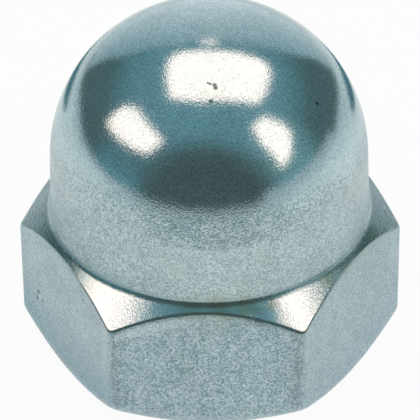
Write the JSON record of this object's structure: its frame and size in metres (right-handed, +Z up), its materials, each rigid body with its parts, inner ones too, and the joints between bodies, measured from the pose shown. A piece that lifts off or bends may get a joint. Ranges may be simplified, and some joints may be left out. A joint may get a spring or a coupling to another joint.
{
  "type": "cap nut",
  "caption": "Domed cap nut in zinc-plated steel: a hexagon with a conical shoulder, a high round dome and a blind threaded hole that covers a bolt end.",
  "frame": {"origin": "centre of the bearing face, on the thread axis", "axes": "+Z up the thread axis to the top of the dome; two flats face +Y and -Y, two corners point along +X and -X"},
  "size_m": [0.015, 0.013, 0.0148],
  "materials": {
    "zinc_plated_steel": "zinc plating with a clear bluish passivation, finely grained, burnished on the dome"
  },
  "bodies": {
    "root": {"cap_nut": "zinc_plated_steel"}
  },
  "joints": []
}
